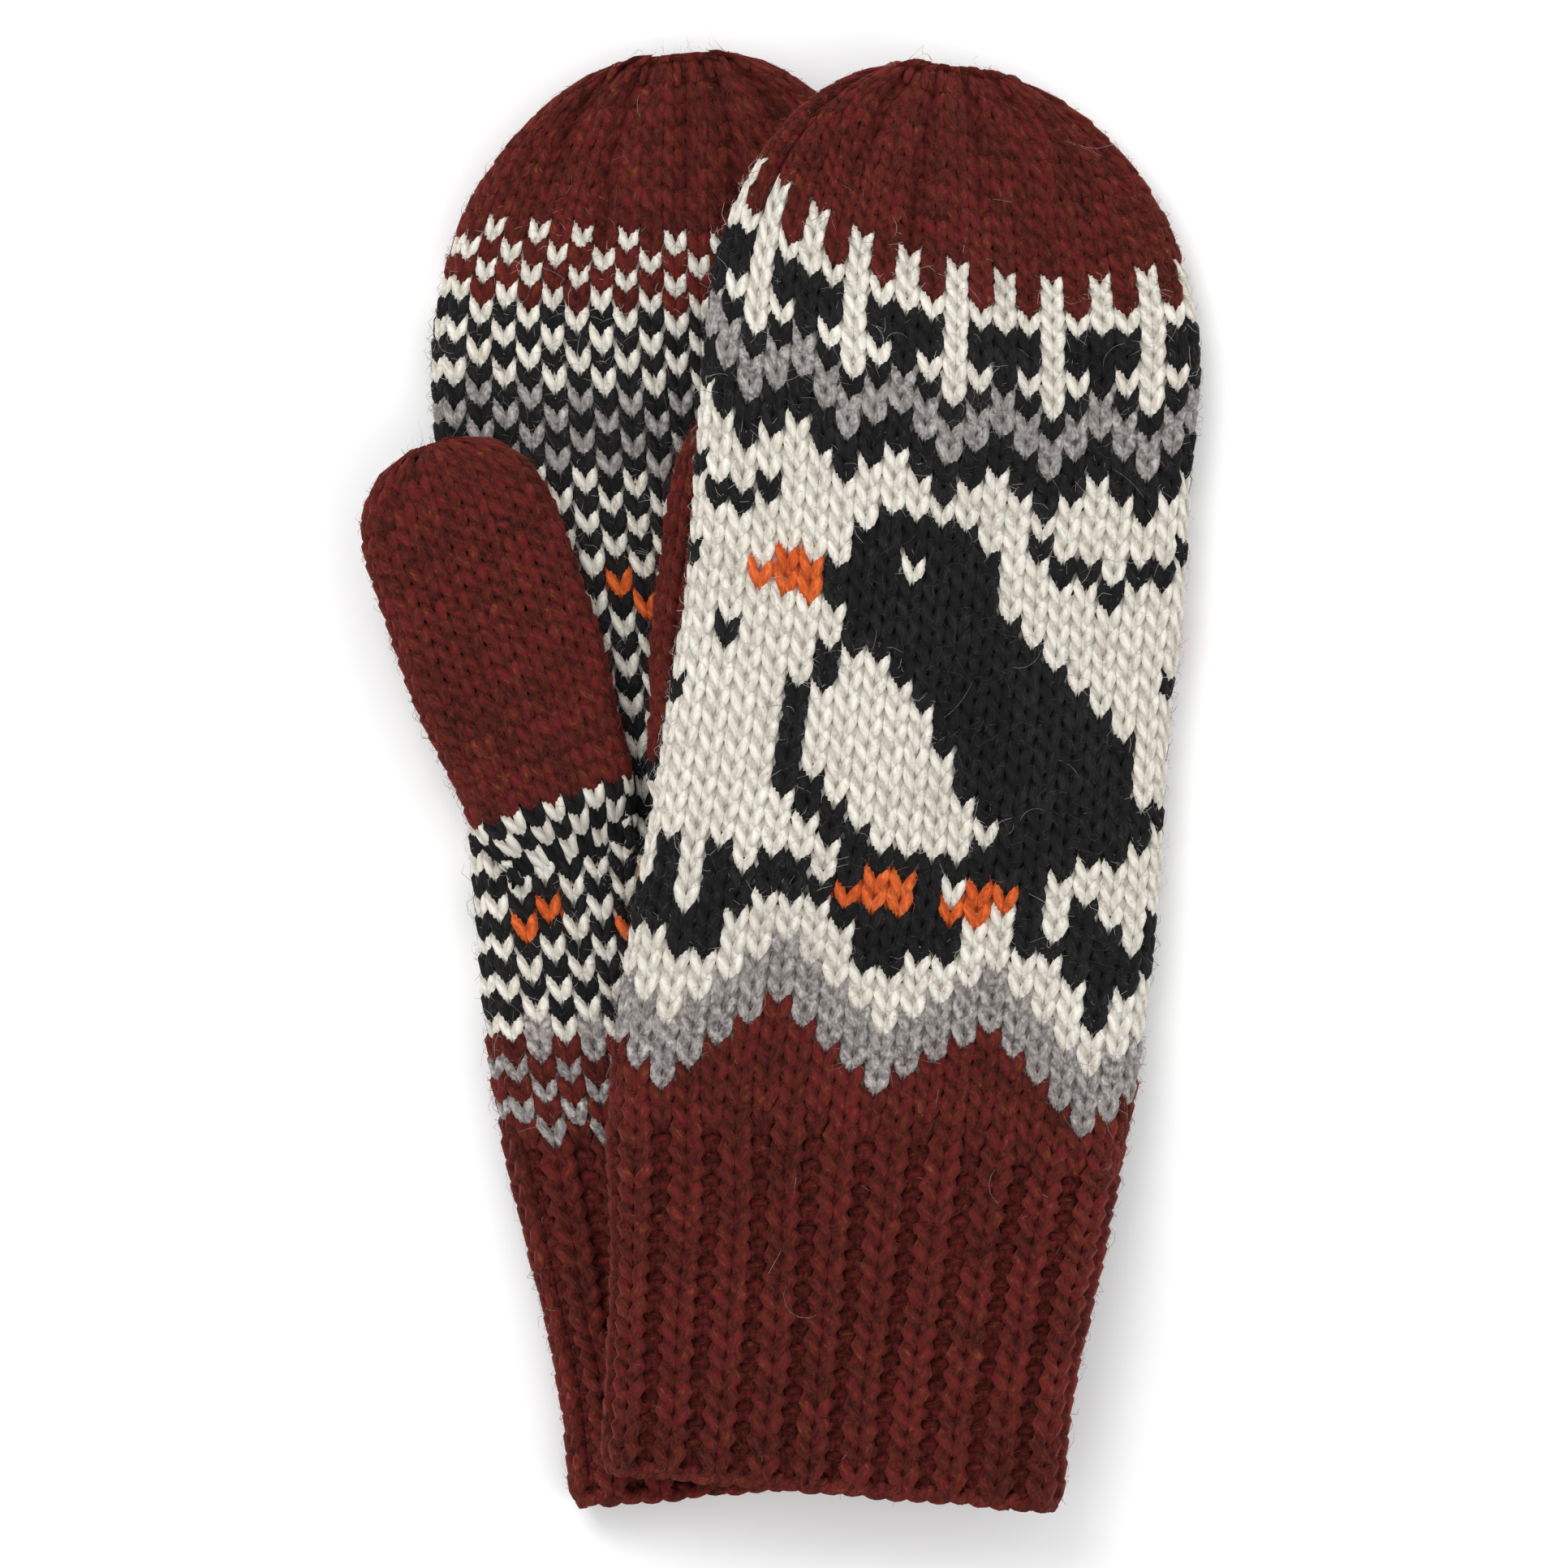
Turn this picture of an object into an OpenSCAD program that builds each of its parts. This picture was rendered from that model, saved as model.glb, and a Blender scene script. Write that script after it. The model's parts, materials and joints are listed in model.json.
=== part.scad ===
// Pair of knitted mittens lying flat, the right mitten on top of the left one.
// The left mitten lies palm up, the right mitten palm down with its thumb tucked under.
// X runs to the right, Y towards the fingertips and Z up. The hems are at low Y.

/* [Mitten] */
// Length of one mitten, from hem to fingertip
mitten_l = 268; // [260:1:276]
// Width across the hem
hem_w = 84.6; // [82:0.2:88]
// Width across the ball of the hand, at its widest
palm_w = 97; // [94:0.5:99]
// Width across the fingers
finger_w = 92; // [89:0.5:93]
// Thickness of one mitten lying flat
mitten_t = 11; // [10.6:0.1:12]
// Thickness of the knitted wall with what backs it
wall = 3; // [2.8:0.05:3.1]
// Thickness of the layer of floats behind the colour pattern
float_t = 0.55; // [0.4:0.05:0.6]
// Sideways bow of the hand, away from its thumb on the upper mitten
bow = 5; // [3:0.5:6]

/* [Bands] */
// Height of the cast-on edge
cast_on_h = 3.5; // [3:0.5:5]
// Top of the ribbed cuff, from the hem
cuff_top = 58; // [54:1:62]
// Fold line at the knuckles, from the hem
knuckle_at = 165; // [160:1:170]
// Start of the plain crown, from the hem
crown_at = 219; // [215:1:223]
// Start of the round taper at the fingertips, from the hem
taper_at = 208; // [204:1:212]

/* [Thumb] */
// Length of the thumb, from its base to its tip
thumb_l = 70; // [66:1:72]
// Width of the thumb at its base
thumb_base_w = 31; // [29:0.5:31]
// Width of the thumb at its widest
thumb_w = 36.4; // [34:0.2:36.6]
// Thickness of the thumb lying flat
thumb_t = 8.8; // [8.6:0.1:8.8]
// Thickness of the thumb's knitted wall
thumb_wall = 2.1; // [1.9:0.05:2.1]
// Distance of the thumb's base from the hem
thumb_at = 131; // [128:1:134]
// Place of the lower mitten's thumb across the hand
lower_thumb_u = -34.5; // [-35.5:0.5:-33.5]
// Angle of the lower mitten's thumb, outwards
lower_thumb_turn = 14; // [12:1:16]
// Place of the upper mitten's thumb across the hand
upper_thumb_u = -30; // [-31:0.5:-29]
// Angle of the upper mitten's tucked thumb, inwards
upper_thumb_turn = 3; // [1:1:4]

/* [Lay] */
// Turn of each mitten away from straight, so that the pair spreads at the tips
lay_turn = 5; // [4:0.5:6]
// Distance between the middles of the two hems
hem_shift = 5.4; // [4:0.2:7]
// Vertical room between one mitten and the next layer
layer_gap = 0.4; // [0.3:0.05:0.5]
// Width over which the upper mitten drops from the lower one to the table
drop_w = 30; // [28:1:36]
// Width over which the upper mitten comes down beside its tucked thumb
shoulder_w = 26; // [24:1:30]

/* [Hidden] */

// place of the pair: the middle of its whole outline is at the origin
pair_x = 6.2;
pair_y = -132.1;

// layers from the table up
palm_top = mitten_t;
thumb_floor = palm_top + layer_gap;
thumb_top = thumb_floor + thumb_t;
upper_floor = palm_top + layer_gap;
bulge_h = thumb_t + layer_gap;
table_gap = 0.3;

// points around one ring: the flat runs and the round sides
FLAT = 8;
ROUND = 4;
RING = 2 * (FLAT + ROUND);

// skin thicknesses
fabric_t = wall - float_t;
tail_r = 0.7;
contact = 0.05;

function smooth(t) = t <= 0 ? 0 : t >= 1 ? 1 : t * t * (3 - 2 * t);
function between(a, b, n) = [for (i = [0:n]) a + (b - a) * i / n];
function towards(a, b, n) = [for (i = [0:n]) a + (b - a) * sin(90 * i / n)];

// half the width of the hand at a distance s from the hem
function hand_body(s) = (hem_w + (palm_w - hem_w) * smooth((s - 10) / 75)
  - (palm_w - finger_w) * smooth((s - 95) / 65)) / 2;
function hand_taper(s) = let (q = (s - taper_at) / (mitten_l - taper_at + 1.5))
  q <= 0 ? 1 : pow(1 - pow(q, 2.1), 1 / 2.1);
function hand_hw(s) = hand_body(s) * hand_taper(s);

// thickness of a flat tube that closes in a round end of length r
function closing(s, l, r) = let (q = (s - (l - r)) / r) q <= 0 ? 1 : sqrt(1 - 0.85 * q * q);
function hand_t(s) = mitten_t * closing(s, mitten_l, 12);

// half the width of the thumb at a distance v from its base
function thumb_hw(v) = let (q = (v - 49) / (thumb_l - 48.4))
  (thumb_base_w + (thumb_w - thumb_base_w) * smooth(v / 30)) / 2
  * (q <= 0 ? 1 : pow(1 - pow(q, 2.4), 1 / 2.4));
function thumb_thick(v) = thumb_t * closing(v, thumb_l, 9);

// sideways bow of the hand's middle line
function hand_bow(s) = bow * sin(180 * pow(min(s / mitten_l, 1), 1.8));

// underside of the upper mitten: it lies on the lower one, rises over its own tucked
// thumb, and drops to the table beyond the lower mitten's edge
function lower_edge(s) = 39.5 - 0.09 * s - 0.0005 * s * s;
function bulge(u, s) = (1 - smooth((u - upper_thumb_u - 23) / shoulder_w))
  * smooth((s - thumb_at + 40) / 26) * (1 - smooth((s - thumb_at - thumb_l - 2) / 28));
function upper_lie(u, s) = upper_floor + bulge_h * bulge(u, s)
  - (upper_floor - table_gap) * smooth((u - lower_edge(s)) / drop_w);
function lie(u, s, side) = side == "right" ? upper_lie(u, s) : 0;
function bow_of(s, side) = side == "right" ? hand_bow(s) : -hand_bow(s);

// flat ring with round sides, from the top right corner leftwards
function ring(hw, t) = let (rx = min(t / 2, hw * 0.95), rz = t / 2, flat = hw - rx) concat(
  [for (i = [0:FLAT - 1]) [flat * (1 - 2 * i / FLAT), rz]],
  [for (i = [0:ROUND - 1]) let (a = 90 + 180 * i / ROUND) [-flat + rx * cos(a), rz * sin(a)]],
  [for (i = [0:FLAT - 1]) [flat * (2 * i / FLAT - 1), -rz]],
  [for (i = [0:ROUND - 1]) let (a = 180 * i / ROUND - 90) [flat + rx * cos(a), rz * sin(a)]]);

// ring of the hand at s, drawn in by an inset, with the end pulled in at the tip
function hand_ring(s, inset, side) = let (
    end = max(0, (s - crown_at) / (mitten_l - crown_at)),
    at = s - end * inset,
    mid = bow_of(s, side),
    pts = ring(max(hand_hw(s) - inset, 2), max(hand_t(s) - 2 * inset, 0.8)))
  [for (p = pts) [mid + p[0], at, lie(mid + p[0], at, side) + mitten_t / 2 + p[1]]];

function thumb_ring(v, inset) = let (
    end = max(0, (v - 40) / (thumb_l - 40)),
    pts = ring(max(thumb_hw(v) - inset, 1.5), max(thumb_thick(v) - 2 * inset, 0.8)))
  [for (p = pts) [p[0], v - end * inset, thumb_floor + thumb_t / 2 + p[1]]];

function flat_list(rows) = [for (row = rows) each row];

// point of a ring straight across from point i
function across(i) = (2 * FLAT + ROUND - i + RING) % RING;

// closed skin between an outer and an inner stack of rings, open or closed at its far end
module skin(outer, inner, closed = false) {
  m = len(outer) - 1;
  off = RING * (m + 1);
  function o(j, i) = j * RING + i % RING;
  function n(j, i) = off + o(j, i);
  side_faces = [for (j = [0:m - 1], i = [0:RING - 1]) each [
    [o(j, i), o(j, i + 1), o(j + 1, i + 1)], [o(j, i), o(j + 1, i + 1), o(j + 1, i)],
    [n(j, i), n(j + 1, i + 1), n(j, i + 1)], [n(j, i), n(j + 1, i), n(j + 1, i + 1)]]];
  near_end = [for (i = [0:RING - 1]) each [
    [o(0, i + 1), o(0, i), n(0, i)], [o(0, i + 1), n(0, i), n(0, i + 1)]]];
  far_end = [for (i = [0:RING - 1]) each [
    [o(m, i), o(m, i + 1), n(m, i + 1)], [o(m, i), n(m, i + 1), n(m, i)]]];
  caps = [for (i = [-ROUND / 2:FLAT + ROUND / 2 - 1])
    let (a = (i + RING) % RING, b = (i + 1 + RING) % RING, c = across(i + 1), d = across(i)) each [
      if (b != c) [o(m, a), o(m, b), o(m, c)], if (c != d && a != d) [o(m, a), o(m, c), o(m, d)],
      if (b != c) [n(m, c), n(m, b), n(m, a)], if (c != d && a != d) [n(m, d), n(m, c), n(m, a)]]];
  polyhedron(
    points = concat(flat_list(outer), flat_list(inner)),
    faces = concat(side_faces, near_end, closed ? caps : far_end));
}

module hand_band(stations, side, from = 0, to = wall, closed = false) {
  skin([for (s = stations) hand_ring(s, from, side)],
       [for (s = stations) hand_ring(s, to, side)], closed);
}

// places each mitten, then its thumb, in the pair
module lay(side) {
  way = side == "right" ? 1 : -1;
  translate([pair_x + way * hem_shift / 2, pair_y, 0]) rotate(-way * lay_turn) children();
}
module at_thumb(side) {
  u = side == "right" ? upper_thumb_u : lower_thumb_u;
  turn = side == "right" ? -upper_thumb_turn : lower_thumb_turn;
  translate([u, thumb_at, 0]) rotate(turn) children();
}

// slit in the palm through which the thumb goes in
slit_w = 26;
slit_l = 9.5;
module slit(side) {
  palm_z = side == "right" ? upper_floor + bulge_h : palm_top - wall;
  at_thumb(side) translate([-slit_w / 2, -slit_l - 1, palm_z - 1]) cube([slit_w, slit_l, wall + 2]);
}

// one rounded bit of yarn between two points
module yarn_end(a, b, r) {
  hull() {
    translate(a) sphere(r, $fn = 16);
    translate(b) sphere(r, $fn = 16);
  }
}

// point inside the hand at s, a little way in from the wall of its right edge
function beside_edge(s, in, side) = let (u = bow_of(s, side) + hand_hw(s) - wall - in)
  [u, s, lie(u, s, side) + mitten_t / 2];

rust = "#5c2620";
white = "#dcd6cb";
black = "#242325";
grey = "#9b958e";

module cast_on_edge(side) {
  color(rust) lay(side) hand_band(between(0, cast_on_h, 1), side);
}
module ribbed_cuff(side) {
  color(rust) lay(side) hand_band(between(cast_on_h, cuff_top, side == "right" ? 5 : 4), side);
}
module lower_hand(side) {
  color(white) lay(side) difference() {
    hand_band(between(cuff_top, knuckle_at, side == "right" ? 11 : 6), side, 0, fabric_t);
    slit(side);
  }
}
module upper_hand(side) {
  color(black) lay(side)
    hand_band(between(knuckle_at, crown_at, side == "right" ? 6 : 3), side, 0, fabric_t);
}
module crown(side) {
  color(rust) lay(side) hand_band(towards(crown_at, mitten_l, 8), side, closed = true);
}
module lower_floats(side) {
  color(grey) lay(side) difference() {
    hand_band(between(cuff_top, knuckle_at, side == "right" ? 11 : 6), side, fabric_t, wall);
    slit(side);
  }
}
module upper_floats(side) {
  color(grey) lay(side)
    hand_band(between(knuckle_at, crown_at, side == "right" ? 6 : 3), side, fabric_t, wall);
}
module crown_closure(side) {
  s = mitten_l - wall - 3.4;
  color(rust) lay(side) yarn_end([-4, s, lie(-4, s, side) + mitten_t / 2],
                                 [4, s, lie(4, s, side) + mitten_t / 2], tail_r);
}
module thumb(side) {
  stations = concat(between(0, 40, 3), [for (v = towards(40, thumb_l, 6)) if (v > 40) v]);
  color(rust) lay(side) at_thumb(side)
    skin([for (v = stations) thumb_ring(v, 0)], [for (v = stations) thumb_ring(v, thumb_wall)], true);
}
module thumb_closure(side) {
  v = thumb_l - thumb_wall - 3;
  z = thumb_floor + thumb_t / 2;
  color(rust) lay(side) at_thumb(side) yarn_end([-2, v, z], [2, v, z], tail_r);
}

// upright slice of a flat round-sided section at v, from z0 to z1
module slice(v, hw, z0, z1) {
  r = min((z1 - z0) / 2, 4);
  translate([0, v, 0]) rotate([90, 0, 0]) linear_extrude(0.4) hull()
    for (x = [-hw + r, hw - r], z = [z0 + r, z1 - r]) translate([x, z]) circle(r, $fn = 24);
}

// hood of picked-up stitches that joins the slit to the open base of the thumb
collar_l = 12;
module collar_shape(palm_z, rise) {
  z_palm = palm_z + rise * contact;
  z_far = rise > 0 ? thumb_top : thumb_floor;
  lo = min(z_palm, z_far);
  hi = max(z_palm, z_far);
  edge_z = palm_z + rise * 1.6;
  lo_in = rise > 0 ? lo - 2 : lo + thumb_wall;
  hi_in = rise > 0 ? hi - thumb_wall : hi + 2;
  difference() {
    hull() {
      slice(-contact, thumb_base_w / 2, lo, hi);
      slice(-collar_l, slit_w / 2 + 1.5, min(z_palm, edge_z), max(z_palm, edge_z));
    }
    hull() {
      slice(0.35, thumb_base_w / 2 - thumb_wall, lo_in, hi_in);
      slice(-0.4, thumb_base_w / 2 - thumb_wall, lo_in, hi_in);
      slice(-slit_l - 0.6, slit_w / 2 - 0.5, min(palm_z - rise * 2, palm_z + rise * 0.7),
            max(palm_z - rise * 2, palm_z + rise * 0.7));
    }
    below = rise > 0 ? z_palm - 10 : z_palm;
    translate([-40, -40, below]) cube([80, 80, 10]);
  }
}
module thumb_collar(side) {
  color(rust) lay(side) at_thumb(side)
    if (side == "right") collar_shape(upper_floor + bulge_h, -1);
    else collar_shape(palm_top, 1);
}

// woven-in yarn ends, inside along an edge
module cuff_tail(side) {
  color(rust) lay(side) yarn_end(beside_edge(8, 1.3, side), beside_edge(30, 1.3, side), tail_r);
}
module crown_tail(side) {
  color(rust) lay(side) yarn_end(beside_edge(222, 3, side), beside_edge(236, 3, side), tail_r);
}
module thumb_tail(side) {
  z = thumb_floor + thumb_t / 2;
  in = thumb_wall + 1.1;
  color(rust) lay(side) at_thumb(side)
    yarn_end([thumb_hw(8) - in, 8, z], [thumb_hw(30) - in, 30, z], tail_r);
}

cast_on_edge("left");  // left_cast_on_edge
ribbed_cuff("left");  // left_ribbed_cuff
lower_hand("left");  // left_lower_hand
upper_hand("left");  // left_upper_hand
crown("left");  // left_crown
crown_closure("left");  // left_crown_closure
thumb("left");  // left_thumb
thumb_closure("left");  // left_thumb_closure
thumb_collar("left");  // left_thumb_collar
lower_floats("left");  // left_lower_floats
upper_floats("left");  // left_upper_floats
cuff_tail("left");  // left_cuff_tail
crown_tail("left");  // left_crown_tail
thumb_tail("left");  // left_thumb_tail
cast_on_edge("right");  // right_cast_on_edge
ribbed_cuff("right");  // right_ribbed_cuff
lower_hand("right");  // right_lower_hand
upper_hand("right");  // right_upper_hand
crown("right");  // right_crown
crown_closure("right");  // right_crown_closure
thumb("right");  // right_thumb
thumb_closure("right");  // right_thumb_closure
thumb_collar("right");  // right_thumb_collar
lower_floats("right");  // right_lower_floats
upper_floats("right");  // right_upper_floats
cuff_tail("right");  // right_cuff_tail
crown_tail("right");  // right_crown_tail
thumb_tail("right");  // right_thumb_tail
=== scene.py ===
import json
import math

import bpy
import numpy as np
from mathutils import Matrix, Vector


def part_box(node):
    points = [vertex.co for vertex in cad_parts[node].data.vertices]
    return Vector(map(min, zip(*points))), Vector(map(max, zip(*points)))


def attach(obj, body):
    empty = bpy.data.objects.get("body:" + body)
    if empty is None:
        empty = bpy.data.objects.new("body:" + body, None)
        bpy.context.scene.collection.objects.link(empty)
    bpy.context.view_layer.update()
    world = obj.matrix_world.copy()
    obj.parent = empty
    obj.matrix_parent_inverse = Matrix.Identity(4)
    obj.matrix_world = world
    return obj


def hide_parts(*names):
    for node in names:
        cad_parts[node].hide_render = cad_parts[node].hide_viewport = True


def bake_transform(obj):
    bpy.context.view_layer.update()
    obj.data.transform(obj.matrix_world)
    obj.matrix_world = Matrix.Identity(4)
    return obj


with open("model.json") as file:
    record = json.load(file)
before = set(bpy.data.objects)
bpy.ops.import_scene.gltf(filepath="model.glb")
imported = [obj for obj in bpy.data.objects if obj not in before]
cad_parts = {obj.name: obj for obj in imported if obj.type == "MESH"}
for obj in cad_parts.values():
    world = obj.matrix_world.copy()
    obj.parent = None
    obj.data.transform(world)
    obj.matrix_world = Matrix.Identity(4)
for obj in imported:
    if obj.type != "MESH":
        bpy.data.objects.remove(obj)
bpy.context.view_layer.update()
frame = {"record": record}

JOINTS = {j["name"]: j for j in frame["record"]["behaviour"]["joints"]}
draw = np.random.default_rng(7)

# ---------------------------------------------------------------- sizes, in millimetres
MM = 0.001
MITTEN_LONG = 268.0
HEM_WIDE, PALM_WIDE, FINGER_WIDE = 84.6, 97.0, 92.0
THICK = 11.0
BOW = 5.0             # how far each mitten curves sideways along its length
TAPER_AT = 208.0      # where the crown starts to narrow
THUMB_LONG, THUMB_BASE_WIDE, THUMB_WIDE, THUMB_THICK = 70.0, 31.0, 36.4, 8.8
THUMB_AT = 131.0      # the thumb's base, from the hem
LAYER_GAP = 0.4
DROP_WIDE, SHOULDER_WIDE = 30.0, 26.0
TABLE_GAP = 0.3
TABLE_FROM, TABLE_TO = 1.5, 0.15      # fabric below the first height is pressed towards the second
TIP_SHORT, TIP_FROM, TIP_OVER = 2.4, 215, 52      # the right tip is drawn in, over this stretch
HEM_BELOW = 1.75      # from the middle of the cast-on edge down to the hem

# the knitting: stitches round the hand, rows from hem to tip, and the yarn
ROUND = 46            # the most stitches a round can have; the hem's girth takes 42
FACE = 23             # columns in each chart
CENTRE = FACE // 2    # the column in the middle of a chart
ROW = 3.77
FIRST_ROW_AT = 2.5
ROWS = 70
RIB_ROWS = 16
RIB_FADE = 9.0        # how far the ribbing runs on into the plain knitting, in millimetres
CROWN_ROW = 58
PLAIN_ROW = 62        # from this row both faces are plain rust
THUMB_ROUND = 18
THUMB_ROWS = 21
THUMB_FIRST_AT = -10.5
THUMB_EVEN_TO = 12    # the last row before the tip's decreases can start
COLLAR_FROM = -9.0
STITCH_WIDE = 4.25    # what the decreases keep each stitch to
YARN = 1.12           # radius of the yarn in the legs of a stitch
FULLER = {"rust": 1.24, "black": 1.09, "grey": 1.04}      # woollier yarns fill more of their stitches
SKIN = -1.2           # middle of the knitting, inwards from the outer surface


def smooth(t):
    t = np.clip(t, 0.0, 1.0)
    return t * t * (3 - 2 * t)


# ---------------------------------------------------------------- shape of a mitten lying flat
def hand_half(s):
    body = (HEM_WIDE + (PALM_WIDE - HEM_WIDE) * smooth((s - 10) / 75)
            - (PALM_WIDE - FINGER_WIDE) * smooth((s - 95) / 65)) / 2
    q = np.clip((s - TAPER_AT) / (MITTEN_LONG - TAPER_AT + 1.5), 0, 0.985)
    return body * (1 - q ** 2.1) ** (1 / 2.1)


def closing(s, end, deep):
    q = np.clip((s - (end - deep)) / deep, 0, 1.05)
    return np.sqrt(1 - 0.85 * q * q)


def hand_thick(s):
    return THICK * closing(s, MITTEN_LONG, 12)


def thumb_half(v):
    q = np.clip((v - 49) / (THUMB_LONG - 48.4), 0, 0.985)
    wide = THUMB_BASE_WIDE + (THUMB_WIDE - THUMB_BASE_WIDE) * smooth(v / 30)
    return wide / 2 * (1 - q ** 2.4) ** (1 / 2.4)


def thumb_section(v):
    """Half the thumb's width and half its thickness. Both lessen below its base, as it sinks into the palm."""
    grown = 0.04 + 0.96 * smooth((v - THUMB_FIRST_AT) / 12)
    return thumb_half(v) - 2.5 * smooth(-v / 12), THUMB_THICK * closing(v, THUMB_LONG, 9) * grown / 2


def wrap(a, half, r):
    """Walks a along a flat round-sided section from the middle of its face: place and outward normal."""
    flat = half - r
    way = np.sign(a)
    a = np.abs(a)
    turn = np.clip((a - flat) / r, 0, math.pi)
    over = np.maximum(a - flat - math.pi * r, 0)
    x = np.minimum(a, flat) + r * np.sin(turn) - over
    return way * x, r * np.cos(turn), way * np.sin(turn), np.cos(turn)


def girth(half, r):
    return 4 * (half - r) + 2 * math.pi * r


def bow(s):
    return BOW * np.sin(math.pi * np.clip(s / MITTEN_LONG, 0, 1) ** 1.8)


def lie(u, s, side):
    """Height of a mitten's underside: the right one lies over the left one and its own thumb."""
    if side == "left":
        return np.zeros_like(u)
    floor = THICK + LAYER_GAP
    edge = 39.5 - 0.09 * s - 0.0005 * s * s
    over_thumb = ((1 - smooth((u - THUMB_U["right"] - 23) / SHOULDER_WIDE))
                  * smooth((s - THUMB_AT + 40) / 26) * (1 - smooth((s - THUMB_AT - THUMB_LONG - 2) / 28)))
    return (floor + (THUMB_THICK + LAYER_GAP) * over_thumb
            - (floor - TABLE_GAP) * smooth((u - edge) / DROP_WIDE))


# ---------------------------------------------------------------- places, from the frame
def middle(node):
    low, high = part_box(node)
    return np.array([(low[i] + high[i]) / 2 / MM for i in range(3)])


fold_axis = JOINTS["right_finger_fold"]["axis"]
lift_axis = JOINTS["left_thumb_fold"]["axis"]
LAY_TURN = abs(math.atan2(fold_axis[1], fold_axis[0]))
TURN = {"left": LAY_TURN, "right": -LAY_TURN}
THUMB_TURN = {"left": math.atan2(lift_axis[1], lift_axis[0]) - LAY_TURN, "right": -math.radians(3)}
THUMB_JOINT = {"left": "left_thumb_fold", "right": "right_thumb_swing"}
HEM = {}
THUMB_U = {}
for side in ("left", "right"):
    along = np.array([-math.sin(TURN[side]), math.cos(TURN[side])])
    HEM[side] = middle(side + "_cast_on_edge")[:2] - HEM_BELOW * along
    base = np.array(JOINTS[THUMB_JOINT[side]]["pos_m"][:2]) / MM - HEM[side]
    THUMB_U[side] = base[0] * math.cos(TURN[side]) + base[1] * math.sin(TURN[side])


def lay(u, s, z, side):
    """Puts points of a mitten's own flat frame in the pair, in metres."""
    c, d = math.cos(TURN[side]), math.sin(TURN[side])
    if side == "right":
        s = s - TIP_SHORT * smooth((s - TIP_FROM) / TIP_OVER)
    soft = TABLE_FROM - TABLE_TO
    z = np.where(z < TABLE_FROM, TABLE_TO + soft * np.exp((np.minimum(z, TABLE_FROM) - TABLE_FROM) / soft), z)
    return np.stack([HEM[side][0] + u * c - s * d, HEM[side][1] + u * d + s * c, z], axis=-1) * MM


# how far the rows of the right mitten stand above level: height, middle, slope and curve across the hand
LEAN_AT = (40.0, 74.0, 125.0, 191.0, 229.0, 266.0)
LEAN_MIDDLE = (0.0, 0.7, 0.0, 1.0, 0.1, 0.0)
LEAN_SLOPE = (0.0, -1.6, -4.2, -4.6, -7.0, 0.0)
LEAN_CURVE = (0.0, -5.7, 0.6, 7.5, 15.0, 0.0)


def row_lean(turned, s, side):
    """Rows of knitting don't run dead level: they lean and sag across the hand. turned is 0 to 1 round."""
    near = turned - np.rint(turned)
    across = np.clip(np.where(np.abs(near) < 0.25, near, np.sign(near) * (0.5 - np.abs(near))) * 4, -1, 1)
    if side == "left":
        fade = 1 - smooth((s - 236) / 26)
        return (across * (4.4 + 3.1 * np.clip((s - 70) / 166, 0, 1)) - 1.2) * smooth((s - 30) / 40) * fade
    across = np.sign(across) * np.minimum(np.abs(across), 0.8 + 0.1 * smooth((np.abs(across) - 0.7) / 0.3))
    return (np.interp(s, LEAN_AT, LEAN_MIDDLE) + np.interp(s, LEAN_AT, LEAN_SLOPE) * across
            + np.interp(s, LEAN_AT, LEAN_CURVE) * across ** 2)


def make_waves(count):
    """Slow seeded waves that run once or more round the hand: the knitter's hand is never even."""
    return [(draw.integers(1, 6), draw.uniform(0.03, 0.16), draw.uniform(0, 6.28)) for _ in range(count)]


WAVES = {key: make_waves(6) for key in ("left_a", "left_b", "left_c", "right_a", "right_b", "right_c")}
WAVE_ALONG, WAVE_ROUND, WAVE_OUT = 0.9, 0.0042, 0.55      # millimetres, part of a turn, millimetres


def wave(turned, s, key):
    return sum(np.sin(2 * math.pi * m * turned + k * s + p) for m, k, p in WAVES[key]) / 6


CREASE_COUNT, CREASE_DEEP, CREASE_WIDE = 13, 3.2, 1.9
CREASE_FROM, CREASE_SPREAD, CREASE_FADE = 248, 26, 14
CREASES = {side: (draw.permutation(CREASE_COUNT) + draw.uniform(-0.25, 0.25, CREASE_COUNT)) / CREASE_COUNT - 0.5
           for side in ("left", "right")}


def drawn_in(turned, s, long_round, side):
    """Soft creases that run down from the tip, where the crown's last stitches are drawn together."""
    deep = 0
    for n, at in enumerate(CREASES[side]):
        far = CREASE_FROM - CREASE_SPREAD * n / (CREASE_COUNT - 1)
        off = (turned - at + 0.5) % 1 - 0.5
        deep = deep + np.exp(-(off * long_round / CREASE_WIDE) ** 2) * smooth((s - far) / CREASE_FADE)
    return CREASE_DEEP * np.minimum(deep, 1)


def on_hand(col, s, out, side, around=ROUND):
    """A point col stitches round from the middle of the back, s from the hem and out from the skin."""
    flip = -1 if side == "left" else 1
    turned = col / around
    calm = smooth(s / 30) * (1 - smooth((s - 225) / 30))
    s = s + row_lean(turned, s, side) + WAVE_ALONG * calm * wave(turned, s, side + "_a")
    turned = turned + WAVE_ROUND * calm * wave(turned, s, side + "_b")
    half, r = hand_half(s), hand_thick(s) / 2
    out = out + WAVE_OUT * calm * wave(turned, s, side + "_c") - drawn_in(turned, s, girth(half, r), side)
    x, z, nx, nz = wrap(turned * girth(half, r), half, r)
    x, z = flip * (x + out * nx), flip * (z + out * nz)
    u = x + (bow(s) if side == "right" else -bow(s))
    return lay(u, s, z + THICK / 2 + lie(u, s, side), side)


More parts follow.
